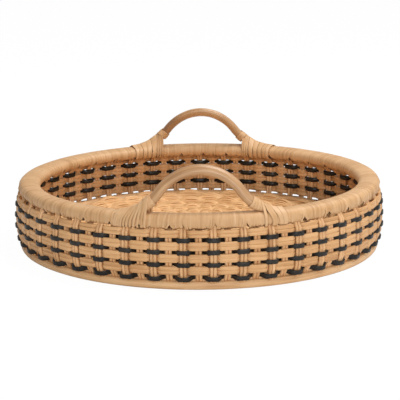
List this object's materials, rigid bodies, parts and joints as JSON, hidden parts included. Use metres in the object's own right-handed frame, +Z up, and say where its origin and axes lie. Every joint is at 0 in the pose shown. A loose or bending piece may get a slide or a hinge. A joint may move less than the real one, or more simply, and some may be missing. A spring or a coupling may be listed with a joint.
{
  "type": "round woven serving tray",
  "caption": "Round shallow woven reed tray with a checked two-tone wall, a bound double-pole rim, a woven floor and two fixed arched pole handles lashed to the rim.",
  "frame": {"origin": "centre of the base, on the surface that the tray stands on", "axes": "+Z up; -Y towards the front handle, +Y towards the back handle"},
  "size_m": [0.4962, 0.496, 0.1482],
  "materials": {
    "plain_reed": "satin natural reed",
    "floor_reed": "satin natural reed",
    "black_reed": "satin black dyed reed",
    "peel": "satin rattan peel",
    "pole": "satin rattan pole"
  },
  "bodies": {
    "root": {"foot_hoop_with_stakes": "plain_reed", "base_hoop": "pole", "black_strand_1": "black_reed", "black_strand_2": "black_reed", "black_strand_3": "black_reed", "black_strand_4": "black_reed", "plain_strand_1": "plain_reed", "plain_strand_2": "plain_reed", "plain_strand_3": "plain_reed", "plain_strand_4": "plain_reed", "floor_spokes": "floor_reed", "floor_strand_1": "floor_reed", "floor_strand_2": "floor_reed", "floor_strand_3": "floor_reed", "floor_strand_4": "floor_reed", "floor_strand_5": "floor_reed", "floor_strand_6": "floor_reed", "rim_inner_pole": "pole", "rim_outer_pole": "pole", "rim_wrap": "peel", "handle_front": "pole", "handle_back": "pole", "collar_front_left": "peel", "collar_front_right": "peel", "collar_back_left": "peel", "collar_back_right": "peel", "lashing_front_left": "peel", "lashing_front_right": "peel", "lashing_back_left": "peel", "lashing_back_right": "peel"}
  },
  "joints": []
}
